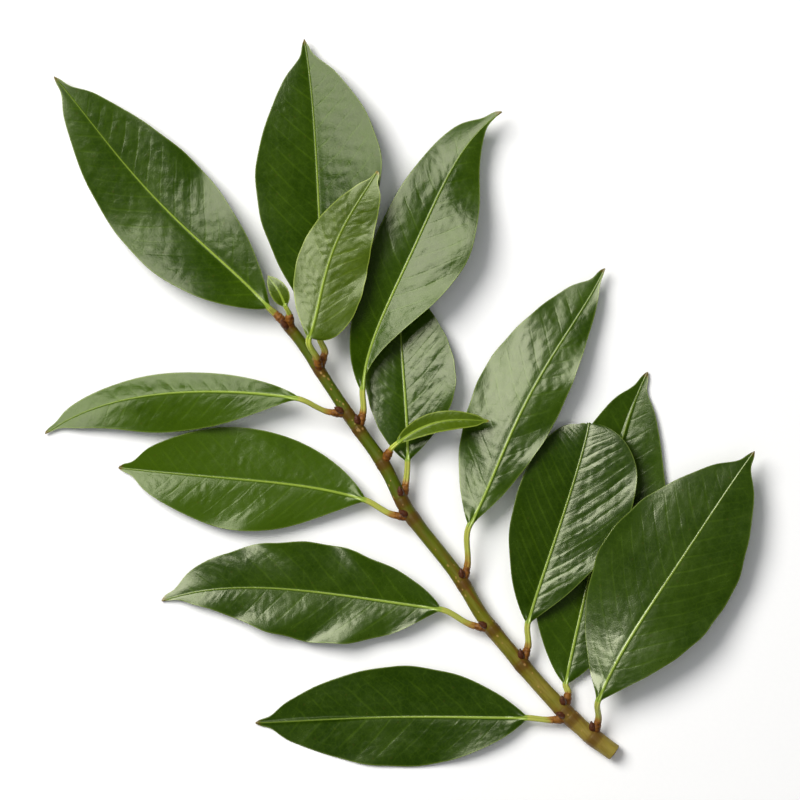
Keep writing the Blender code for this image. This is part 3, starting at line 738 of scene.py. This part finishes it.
def makeLeaf(leaf, form, seed):
    # A closed skin: the upper face from the right margin to the left one, then the lower face back again.
    # The stalk is round with a channel on top and gives way to the blade. Across the blade the height is the
    # fold, the small forms, slow unevenness and the rib in its groove. The lower face lies one thickness
    # under it along the normal, more under the midrib and the side veins, less at the margin.
    line, t, stalkShare, reach, left, up = leafSpine(leaf, form)
    length = float(reach[-1, 0] - reach[form["stalkRings"], 0])
    grown = smoothStep(t / form["baseShare"])
    even = np.linspace(-1, 1, form["columns"])
    s = (even - form["columnCrowding"] * np.sin(2 * np.pi * even))[None, :]
    full = bySide(s, leaf["left"][0], leaf["right"][0])
    sturdy = min(1.0, full.min() / form["sturdyFrom"])        # less than 1 for a narrow leaf
    width = marginWidth(leaf, form, t, s, seed)
    out = np.abs(s) * width                                   # distance from the midrib
    across = bySide(s, out, -out)
    along = t * length
    phase = veinPhase(leaf, form, s, along, across, length, seed)

    # The small forms fade out towards the midrib, the margin, the base and the tip
    inBlade = smoothStep(np.abs(s) / form["plainMiddle"]) * smoothStep((1 - np.abs(s)) / form["plainMargin"])
    inBlade = inBlade * np.sin(np.pi * t) ** 0.5 * smoothStep((1 - t) / form["plainTip"])
    rise = foldRise(leaf, form, t, s, width, full, length)
    rise = rise + fineRise(leaf, form, s, along, across, phase, seed) * inBlade
    uneven = leaf["uneven"] * softWaves(along, across, form["unevenLengths"], seed)
    uneven = uneven * np.sin(np.pi * t) * smoothStep(out / form["unevenBeyond"])
    rise = rise + uneven * np.minimum(full / form["unevenFrom"], 1)
    ribHalf = form["ribHalfWidth"] * (1 - form["ribNarrowing"] * t) + 0.02
    groove = form["grooveDepth"] * bell(out, form["grooveHalfWidth"]) * (1 - form["grooveFading"] * t)
    rib = form["ribRise"] * bell(out, ribHalf) * (1 - form["ribSinking"] * t)
    rise = rise + sturdy * (rib - groove)

    radius = form["stalkRadius"] * (1 + form["stalkFlare"] * bell(reach, form["flareReach"]))
    radius = radius * (form["slimStalk"] + (1 - form["slimStalk"]) * sturdy)
    roundAcross = radius * np.sin(s * np.pi / 2)
    roundRise = radius * np.cos(s * np.pi / 2) * (1 - grown)
    channel = 1 - form["channel"] * bell(roundAcross, form["channelHalfWidth"])
    sideways = np.sign(s) * np.sqrt(out ** 2 + ((1 - grown) * roundAcross) ** 2)
    middle = line[:, None] + sideways[..., None] * left
    top = middle + (roundRise * channel + grown * rise)[..., None] * up

    fromMargin = np.maximum(width - out, 0.0)
    rim = np.sqrt(1 - np.clip(1 - fromMargin / form["rim"], 0, 1) ** 2)
    fromVein = (0.5 - np.abs(phase % 1 - 0.5)) * veinSpacing(leaf, form, length)
    keel = form["keelDepth"] * bell(out, form["keelHalfWidth"]) * (1 - form["keelFading"] * t)
    depth = (form["thickness"] + sturdy * keel) * rim
    depth = depth + sturdy * form["veinRidge"] * bell(fromVein, form["veinHalfWidth"]) * inBlade
    clear = top[..., 2] - grown * depth
    top[..., 2] += (onTable(form, clear) - clear) * grown
    normal = unit(np.cross(np.gradient(top, axis=0), np.gradient(top, axis=1)))
    normal = np.where(normal[..., 2:] < 0, -normal, normal)
    blend = grown[..., None]
    lower = middle - roundRise[..., None] * up
    bottom = (1 - blend) * lower + blend * (top - depth[..., None] * normal)
    bottom[..., 2] = np.maximum(bottom[..., 2], 0.0)

    def roundTrip(values):
        # Out over the upper face and back under the lower one, without the two margins twice
        values = np.broadcast_to(values, (len(line), form["columns"]))
        return np.concatenate((values, values[:, -2:0:-1]), axis=1)

    rings = np.concatenate((top, bottom[:, -2:0:-1]), axis=1)
    under = np.concatenate((np.zeros(form["columns"]), np.ones(form["columns"] - 2)))
    marks = {
        "alongBlade": roundTrip(t),
        "ribPlace": roundTrip(out / ribHalf),
        "marginGap": roundTrip(fromMargin),
        "veinPhase": roundTrip(phase),
        "underside": under,
        "stalkShare": roundTrip(stalkShare),
    }
    plan = np.stack((roundTrip(reach), roundTrip(across)), axis=-1) * form["planScale"]
    return skinRings("bayLeaf" + leaf["name"][-2:], rings, marks, plan), length


leafLook = {
    "grown": {
        "dark": paint(23, 46, 1), "mid": paint(58, 84, 4), "vein": paint(82, 112, 10),
        "rib": paint(138, 162, 56), "margin": paint(112, 132, 50), "under": paint(104, 126, 70),
        "stalk": paint(172, 176, 78), "root": paint(150, 88, 40), "tip": paint(98, 74, 28),
        "speck": paint(82, 62, 24), "roughness": (0.20, 0.29),
    },
    "young": {
        "dark": paint(52, 72, 3), "mid": paint(76, 98, 10), "vein": paint(108, 132, 22),
        "rib": paint(136, 160, 48), "margin": paint(148, 166, 62), "under": paint(130, 152, 80),
        "stalk": paint(178, 190, 74), "root": paint(156, 96, 36), "tip": paint(132, 106, 40),
        "speck": paint(120, 112, 40), "roughness": (0.24, 0.34),
    },
    "finish": {"Specular Tint": (0.97, 1.0, 0.75, 1.0)},
    "patchScale": 85.0,
    "mottleScale": 520.0,
    "poreScale": 2600.0,
    "netScale": 78.0,        # the finest veins, on the piece's own map
    "coarseScale": 29.64,    # the veins that hold them
    "speckScale": 11.0,
    "bumpDepth": 0.000025,
}


def cellsOf(tree, place, scale, feature="F1"):
    # Distance to the middle of the nearest cell, or to the edge between two
    sockets = {"Vector": place, "Scale": scale}
    node = addNode(tree, "ShaderNodeTexVoronoi", sockets, voronoi_dimensions="2D", feature=feature)
    return node.outputs["Distance"]


def veinOf(tree, phase, shift, spacing, inner, outer):
    # 1 where phase plus shift is half-way between whole numbers, fading out with the distance in millimetres.
    # The hundred only keeps the sum above nothing.
    gap = fromMiddle(tree, mathOf(tree, "FRACT", plus(tree, phase, 100 + shift)))
    return fadeOf(tree, times(tree, mathOf(tree, "ABSOLUTE", gap), spacing), inner, outer, 1.0, 0.0)


def leafMaterial(leaf, length):
    # Mottled green, lighter along the midrib, the side veins and the finest net, with a pale thin margin,
    # a matt pale underside and a stalk that turns red-brown at its root
    look = leafLook["young" if leaf["young"] else "grown"]
    material, tree = startMaterial("glossyLeaf" + leaf["name"][-2:], look["dark"])
    place = objectPlace(tree)
    plan = addNode(tree, "ShaderNodeUVMap", uv_map="plan").outputs["UV"]
    along = markOf(tree, "alongBlade")
    rib = markOf(tree, "ribPlace")
    margin = markOf(tree, "marginGap")
    phase = markOf(tree, "veinPhase")
    under = markOf(tree, "underside")
    stalk = markOf(tree, "stalkShare")
    patches = noiseOf(tree, place, leafLook["patchScale"], 3.0, 0.55)
    mottle = noiseOf(tree, place, leafLook["mottleScale"], 3.0, 0.6)
    pores = noiseOf(tree, place, leafLook["poreScale"])

    # A light leaf has more of the middle green and less of the dark
    tone = leaf["tone"]
    low, high = 0.34 - 0.1 * tone, 0.78 - 0.3 * tone
    least, most = 0.15 + 0.35 * tone, 0.5 + 0.5 * tone
    colour = coatOf(tree, look["dark"], look["mid"], patches, low, high, least, most)
    colour = coatOf(tree, colour, look["mid"], mottle, 0.42, 0.75, 0.0, 0.30)

    # Side veins, the half-way ones between them, and the finest net
    spacing = veinSpacing(leaf, leafForm, length)
    inwards = fadeOf(tree, margin, 0.6, 4.5)
    broken = times(tree, inwards, fadeOf(tree, pores, 0.35, 0.55))
    sideVein = times(tree, veinOf(tree, phase, 0.5, spacing, 0.10, 0.40), inwards)
    halfVein = times(tree, veinOf(tree, phase, 0.0, spacing, 0.05, 0.26), broken)
    net = cellsOf(tree, plan, leafLook["netScale"], "DISTANCE_TO_EDGE")
    netLine = fadeOf(tree, net, 0.03, 0.16, 1.0, 0.0)
    coarse = cellsOf(tree, plan, leafLook["coarseScale"], "DISTANCE_TO_EDGE")
    coarseLine = fadeOf(tree, coarse, 0.02, 0.08, 1.0, 0.0)
    showing = fadeOf(tree, patches, 0.35, 0.65, 0.06, 0.26)
    colour = blendOf(tree, times(tree, netLine, 0.06), colour, look["vein"])
    colour = blendOf(tree, times(tree, coarseLine, 0.06), colour, look["vein"])
    colour = blendOf(tree, times(tree, halfVein, 0.09), colour, look["vein"])
    colour = blendOf(tree, times(tree, sideVein, showing), colour, look["vein"])
    colour = coatOf(tree, colour, look["vein"], rib, 1.0, 5.0, 0.10, 0.0)

    specks = cellsOf(tree, plan, leafLook["speckScale"])
    ribLine = fadeOf(tree, rib, 0.60, 1.20, 1.0, 0.0)
    ribFading = fadeOf(tree, along, 0.15, 0.95, 1.0, 0.42)
    rootward = plus(tree, stalk, times(tree, fromMiddle(tree, mottle), 0.5))
    colour = coatOf(tree, colour, look["speck"], specks, 0.020, 0.045, 0.15, 0.0)
    colour = coatOf(tree, colour, look["under"], under, 0.3, 0.7, 0.0, 0.82)
    colour = coatOf(tree, colour, look["margin"], margin, 0.12, 0.42, 0.55, 0.0)
    colour = blendOf(tree, times(tree, ribLine, ribFading), colour, look["rib"])
    colour = coatOf(tree, colour, look["tip"], along, 0.975, 0.995, 0.0, leaf["tipTone"])
    colour = coatOf(tree, colour, look["stalk"], stalk, 0.0, 0.10)
    colour = coatOf(tree, colour, look["root"], rootward, 0.60, 1.05, 0.0, 0.9)

    wear = plus(tree, times(tree, patches, 0.6), times(tree, mottle, 0.4))
    roughness = fadeOf(tree, wear, 0.3, 0.7, *look["roughness"])
    roughness = plus(tree, roughness, fadeOf(tree, under, 0.3, 0.7, 0.0, 0.16))
    raised = plus(tree, times(tree, netLine, 0.16), times(tree, sideVein, 0.5))
    raised = plus(tree, raised, times(tree, coarseLine, 0.12))
    turned = fadeOf(tree, under, 0.3, 0.7, -1.0, 1.0)         # sunk above, raised beneath
    height = plus(tree, times(tree, raised, turned), times(tree, pores, 0.35))
    finish = {**leafLook["finish"], "Specular IOR Level": leaf["gloss"]}
    finishMaterial(tree, finish, colour, roughness, height, leafLook["bumpDepth"])
    return material


# The swellings between stem and stalk, and the buds above them

cushion = {
    "rings": 44,
    "sides": 32,
    "reach": 3.3,            # beyond the surface of the stem, so that the stalk stands in it
    "rootRadius": 1.22,
    "endRadius": 0.92,
    "collar": 0.14,          # a raised ring
    "collarAt": 0.62,
    "collarReach": 0.14,
    "roundFrom": 0.86,       # share of the length where the end begins to round off
    "roundReach": 0.145,
    "wrinkle": 0.045,
    "wrinkles": 30,          # radians of the wrinkles over the length
    "wrinkleSwing": 1.6,     # radians by which they swing on their way round
    "ovalness": 0.05,
    "orange": paint(142, 92, 30),
    "brown": paint(88, 46, 12),
    "mottleScale": 900.0,
    "grainScale": 3600.0,
    "finish": {"Specular IOR Level": 0.35, "Specular Tint": (1.0, 0.95, 0.80, 1.0)},
    "bumpDepth": 0.00009,
}

bud = {
    "rings": 60,
    "sides": 40,
    "length": 3.9,
    "radius": 0.90,
    "pointed": 0.82,         # below 1 the thickest place lies nearer the foot
    "fullness": 0.80,
    "elevation": 30.0,
    "follow": 0.55,          # share of the stalk's heading that the bud takes
    "standOff": 1.3,
    "scales": 4.0,
    "scaleSwing": 0.55,
    "scaleStart": 0.2,       # of the phase, at the foot
    "scaleEdge": 0.10,
    "tipShift": (-0.8, 0.5, 1.6),    # the bud at the end of the stem
    "tipElevation": 35.0,
    "maroon": paint(76, 36, 14),
    "edge": paint(126, 78, 34),
    "mottleScale": 1100.0,
    "grainScale": 4200.0,
    "finish": {"Specular IOR Level": 0.5, "Coat Weight": 0.12, "Coat Roughness": 0.3},
    "bumpDepth": 0.00006,
}


def roundBar(name, foot, heading, lengths, radii, marks):
    # Rings of a given radius at given lengths along a straight axis
    turn = fullTurn(radii.shape[1])[..., None]
    side = unit(np.cross(upwards, heading))
    over = np.cross(heading, side)
    ring = np.cos(turn) * side + np.sin(turn) * over
    rings = foot + lengths[..., None] * heading + radii[..., None] * ring
    return skinRings(name, rings, marks)


def makeCushion(leaf, seed):
    # A cone from the axis of the stem that rounds off over the stalk, with a collar and fine wrinkles
    axis = stemAt(leaf["node"])
    length = axis[3] + cushion["reach"]
    share = np.linspace(0, 1, cushion["rings"])[:, None] + np.zeros((1, cushion["sides"]))
    turn = fullTurn(cushion["sides"])
    radius = cushion["rootRadius"] + (cushion["endRadius"] - cushion["rootRadius"]) * share
    radius = radius + cushion["collar"] * bell(share - cushion["collarAt"], cushion["collarReach"])
    past = np.maximum(share - cushion["roundFrom"], 0.0) / cushion["roundReach"]
    radius = radius * np.sqrt(np.clip(1 - past ** 2, 0.03, 1))
    wrinkles = np.sin(cushion["wrinkles"] * share + cushion["wrinkleSwing"] * np.sin(turn + seed) + seed)
    radius = radius + cushion["wrinkle"] * wrinkles
    radius = radius * (1 + cushion["ovalness"] * np.sin(2 * turn + seed))
    name = "stalkCushion" + leaf["name"][-2:]
    return roundBar(name, axis[:3], direction(*leaf["aim"]), share * length, radius, {"reach": share})


def makeBud(name, middle, heading, seed):
    # A pointed egg whose surface steps outwards at the edge of each scale: the steps are the whole numbers
    # of a phase that grows along the bud and swings round it
    share = np.linspace(0, 1, bud["rings"])[:, None] + np.zeros((1, bud["sides"]))
    turn = fullTurn(bud["sides"])
    radius = bud["radius"] * np.sin(np.pi * share ** bud["pointed"]) ** bud["fullness"]
    phase = bud["scales"] * share + bud["scaleSwing"] * np.abs(np.sin(turn + seed)) + bud["scaleStart"]
    step = 1 - phase % 1
    radius = radius * (1 + bud["scaleEdge"] * (smoothStep(step * 1.2) - 0.5)) + 0.01
    lengths = (share - 0.5) * bud["length"]
    return roundBar(name, middle, heading, lengths, radius, {"reach": share, "scale": step})


def cushionMaterial():
    # Orange-brown skin, browner towards the stem, with fine brown spots
    material, tree = startMaterial("cushionSkin", cushion["brown"])
    place = objectPlace(tree)
    mottle = noiseOf(tree, place, cushion["mottleScale"], 3.0, 0.6)
    fine = noiseOf(tree, place, cushion["grainScale"])
    outwards = plus(tree, mottle, times(tree, markOf(tree, "reach"), 0.25))
    colour = coatOf(tree, cushion["brown"], cushion["orange"], outwards, 0.45, 0.85)
    colour = coatOf(tree, colour, cushion["brown"], fine, 0.5, 0.75, 0.0, 0.35)
    roughness = fadeOf(tree, mottle, 0.3, 0.7, 0.42, 0.60)
    finishMaterial(tree, cushion["finish"], colour, roughness, fine, cushion["bumpDepth"])
    return material


def budMaterial():
    # Maroon scales with paler dry edges
    material, tree = startMaterial("budScales", bud["maroon"])
    place = objectPlace(tree)
    mottle = noiseOf(tree, place, bud["mottleScale"], 3.0, 0.6)
    fine = noiseOf(tree, place, bud["grainScale"])
    colour = coatOf(tree, bud["maroon"], bud["edge"], markOf(tree, "scale"), 0.02, 0.22, 0.8, 0.0)
    colour = coatOf(tree, colour, bud["edge"], mottle, 0.5, 0.8, 0.0, 0.4)
    roughness = fadeOf(tree, mottle, 0.3, 0.7, 0.34, 0.52)
    finishMaterial(tree, bud["finish"], colour, roughness, fine, bud["bumpDepth"])
    return material


placePiece(makeStem([leaf["node"] for leaf in leaves]), barkMaterial(), "bark", "stem")
print("bay branch: stem made")

for number, leaf in enumerate(leaves):
    mesh, length = makeLeaf(leaf, leafForm, 3 + 7 * number)
    slotName = "young_leaf" if leaf["young"] else "grown_leaf"
    placePiece(mesh, leafMaterial(leaf, length), slotName, leaf["name"])
print("bay branch: leaves made")

skin = cushionMaterial()
scaly = budMaterial()
for number, leaf in enumerate(leaves):
    placePiece(makeCushion(leaf, number), skin, "bark", "stem")
    if leaf["bud"]:
        axis = stemAt(leaf["node"])
        heading = direction(leaf["aim"][0] * bud["follow"], bud["elevation"])
        middle = axis[:3] + heading * (axis[3] + bud["standOff"])
        name = "sleepingBud" + leaf["name"][-2:]
        placePiece(makeBud(name, middle, heading, number), scaly, "bark", "stem")
tipMiddle = stemAt(stemEnd)[:3] + np.array(bud["tipShift"])
placePiece(makeBud("tipBud", tipMiddle, direction(0.0, bud["tipElevation"]), 20), scaly, "bark", "stem")
print("bay branch: cushions and buds made")

# Table, light and camera, in metres, degrees and watts

stage = {
    "tableSize": 6.0,
    "tableCells": 8,
    "tableColour": paint(254, 254, 254),
    "tableGrain": paint(246, 246, 248),
    "tableGrainScale": 900.0,
    "tableRoughness": (0.75, 0.85),
    "tableFinish": {"Specular IOR Level": 0.1},
    "tableBump": 0.00001,
    "tableDrop": 0.00008,    # the table lies this far under the lowest leaf
    "viewMiddle": (-0.0072, -0.0077, 0.008),
    "viewAcross": 0.212,
    "viewRoll": -127.58,     # the stem's tip points to the upper left of the view
    "lens": 240.0,
    "sensor": 36.0,
    "clip": (0.05, 20.0),
    "keyHeading": 13.0,      # the light comes from over the tip
    "keyElevation": 51.0,    # for the shadows
    "sheenElevation": 55.0,  # a second window, seen in the gloss of the leaves alone
    "keyDistance": 1.5,
    "keySize": 0.90,
    "keyPower": 25.2,
    "sheenPower": 22.6,
    "keyColour": (1.0, 0.985, 0.955),
    "fillHeight": 1.6,
    "fillSize": 2.6,
    "fillPower": 12.2,
    "fillColour": (0.955, 0.97, 1.0),
    "skyStrength": 0.025,
    "skyColour": (0.96, 0.98, 1.0, 1.0),
}


def makeTable():
    # A flat square of squares with a faint unevenness in its colour
    cells = stage["tableCells"]
    half = stage["tableSize"] / 2
    steps = np.linspace(-half, half, cells + 1)
    across, along = np.meshgrid(steps, steps)
    points = np.column_stack((across.ravel(), along.ravel(), np.full(across.size, -stage["tableDrop"])))
    corner = (np.arange(cells)[:, None] * (cells + 1) + np.arange(cells)).ravel()
    faces = np.column_stack((corner, corner + 1, corner + cells + 2, corner + cells + 1))
    mesh = bpy.data.meshes.new("paleTable")
    mesh.from_pydata(points.tolist(), [], faces.tolist())
    material, tree = startMaterial("paleTable", stage["tableColour"])
    grain = noiseOf(tree, objectPlace(tree), stage["tableGrainScale"])
    colour = coatOf(tree, stage["tableColour"], stage["tableGrain"], grain, 0.3, 0.8, 0.0, 0.12)
    roughness = fadeOf(tree, grain, 0.2, 0.8, *stage["tableRoughness"])
    finishMaterial(tree, stage["tableFinish"], colour, roughness, grain, stage["tableBump"])
    mesh.materials.append(material)
    table = addObject("paleTable", mesh)


def addLamp(name, place, aim, size, power, colour, inGloss):
    # A round window that faces the aim and is seen either in the gloss or in the matt light
    lamp = bpy.data.lights.new(name, "AREA")
    lamp.shape = "DISK"
    lamp.size = size
    lamp.energy = power
    lamp.color = colour
    holder = addObject(name, lamp)
    holder.location = place
    back = unit(np.array(place) - np.array(aim))
    holder.rotation_euler = (math.acos(back[2]), 0.0, math.atan2(back[1], back[0]) + math.pi / 2)
    holder.visible_glossy = inGloss
    holder.visible_diffuse = not inGloss


makeTable()
middle = np.array(stage["viewMiddle"])
for name, elevation, power, inGloss in (("keyWindow", stage["keyElevation"], stage["keyPower"], False),
                                        ("sheenWindow", stage["sheenElevation"], stage["sheenPower"], True)):
    place = middle + direction(stage["keyHeading"], elevation) * stage["keyDistance"]
    addLamp(name, place, middle, stage["keySize"], power, stage["keyColour"], inGloss)
fillPlace = middle + upwards * stage["fillHeight"]
addLamp("fillCeiling", fillPlace, middle, stage["fillSize"], stage["fillPower"], stage["fillColour"], False)
sky = bpy.data.worlds.new("paleRoom")
bpy.context.scene.world = sky
sky.use_nodes = True
sky.node_tree.nodes["Background"].inputs["Color"].default_value = stage["skyColour"]
sky.node_tree.nodes["Background"].inputs["Strength"].default_value = stage["skyStrength"]

camera = addObject("overheadCamera", bpy.data.cameras.new("overheadCamera"))
camera.data.lens = stage["lens"]
camera.data.sensor_width = stage["sensor"]
camera.location = middle + upwards * stage["viewAcross"] * stage["lens"] / stage["sensor"]
camera.rotation_euler = (0.0, 0.0, math.radians(stage["viewRoll"]))
camera.data.clip_start, camera.data.clip_end = stage["clip"]
bpy.context.scene.camera = camera
bpy.context.scene.view_settings.view_transform = "Standard"
print("bay branch: table, lamps and camera set")
